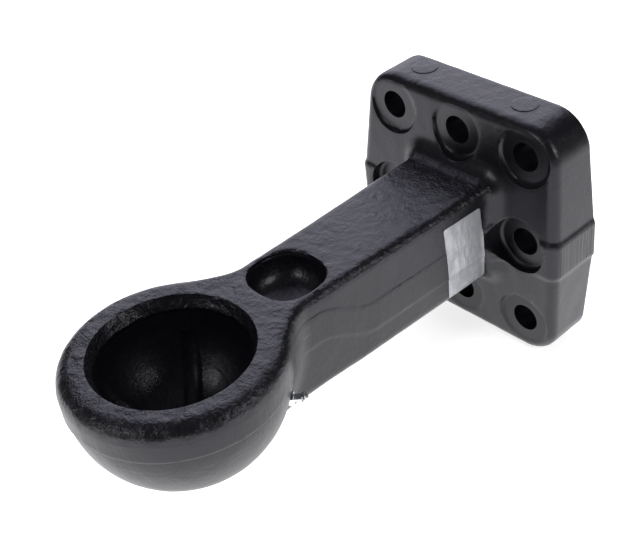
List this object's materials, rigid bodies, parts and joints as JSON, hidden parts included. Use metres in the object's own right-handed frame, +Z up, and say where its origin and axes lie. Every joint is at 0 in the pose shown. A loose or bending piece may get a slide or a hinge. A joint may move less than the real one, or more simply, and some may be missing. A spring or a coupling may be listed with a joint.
{
  "type": "tractor ball hitch",
  "caption": "Forged steel drawbar coupling: a machined bolt flange, a tapering neck and an upward-opening socket for a coupling ball, with a relief pocket, a grease nipple and a bare label.",
  "frame": {"origin": "centre of the flange's bolt pattern on its mounting face", "axes": "+X along the neck from the flange to the ball socket, +Y towards the labelled side, +Z up, the way the socket opens"},
  "size_m": [0.306, 0.1555, 0.1584],
  "materials": {
    "forging_paint": "semi-gloss black paint over an as-forged skin",
    "nipple_plating": "bright zinc plating",
    "ball_steel": "polished",
    "spring_steel": "drawn wire",
    "label_foil": "satin foil"
  },
  "bodies": {
    "hitch": {"hitch_body": "forging_paint", "grease_nipple": "nipple_plating", "valve_spring": "spring_steel", "label": "label_foil"},
    "valve": {"check_ball": "ball_steel"}
  },
  "joints": [
    {"name": "check_ball_slide", "type": "slide", "parent": "hitch", "child": "valve", "axis": [0.7071, -0.7071, 0], "range_m": [0, 0.0008], "stiffness_N_per_m": 200, "deforming": ["valve_spring"]}
  ]
}
